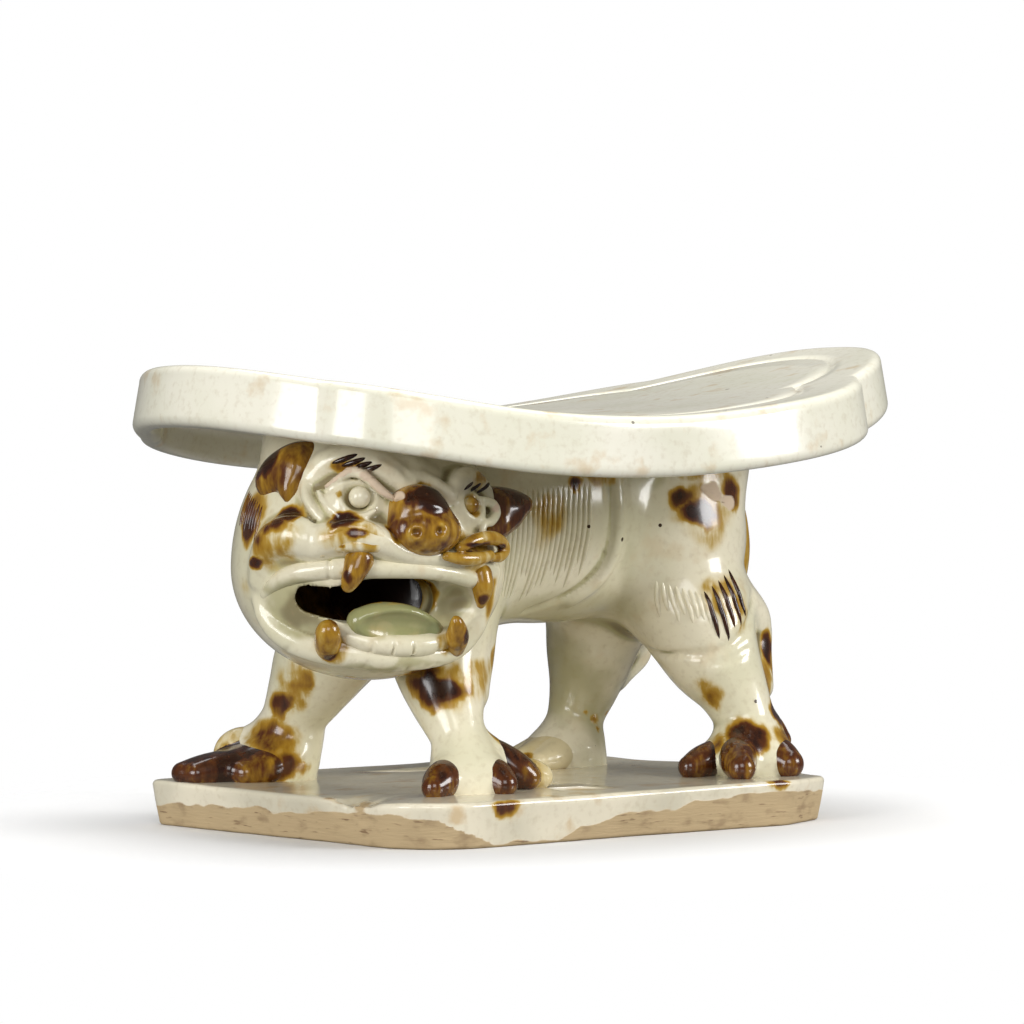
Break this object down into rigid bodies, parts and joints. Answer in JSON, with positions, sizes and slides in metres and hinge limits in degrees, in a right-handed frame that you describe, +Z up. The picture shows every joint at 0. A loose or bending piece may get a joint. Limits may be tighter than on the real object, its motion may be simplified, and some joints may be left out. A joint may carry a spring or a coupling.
{
  "type": "chinese ceramic pillow",
  "caption": "Glazed stoneware pillow: a lobed saddle-shaped headrest carried on the back of a standing lion with an open mouth, on a flat slab base.",
  "frame": {"origin": "on the table, under the centre of the headrest", "axes": "+X along the headrest from the lion's head end to its rump, +Y away from the side that the face looks at, +Z up"},
  "size_m": [0.1942, 0.1354, 0.1122],
  "materials": {
    "white_glaze": "glossy greenish-white glaze with tan stains and fine specks",
    "iron_glaze": "glossy iron-brown glaze, amber where thin",
    "green_glaze": "pooled celadon-green glaze",
    "base_clay": "glazed top, bare tan clay on the lower edge and the underside"
  },
  "bodies": {
    "root": {"base_slab": "base_clay", "headrest_slab": "white_glaze", "headrest_rim": "white_glaze", "body_left": "white_glaze", "body_right": "white_glaze", "head": "white_glaze", "upper_lip": "white_glaze", "lower_lip": "white_glaze", "upper_teeth": "white_glaze", "lower_teeth": "white_glaze", "upper_right_fang": "iron_glaze", "upper_left_fang": "iron_glaze", "lower_right_fang": "iron_glaze", "lower_left_fang": "iron_glaze", "tongue": "green_glaze", "nose": "iron_glaze", "right_eyeball": "white_glaze", "left_eyeball": "white_glaze", "right_brow": "white_glaze", "left_brow": "white_glaze", "right_ear": "iron_glaze", "left_ear": "iron_glaze", "right_whisker": "iron_glaze", "left_whisker": "iron_glaze", "left_foreleg": "white_glaze", "right_foreleg": "white_glaze", "left_hindleg": "white_glaze", "right_hindleg": "white_glaze", "left_fore_toes": "iron_glaze", "right_fore_toes": "iron_glaze", "left_hind_toes": "iron_glaze", "right_hind_toes": "iron_glaze", "tail": "iron_glaze"}
  },
  "joints": []
}
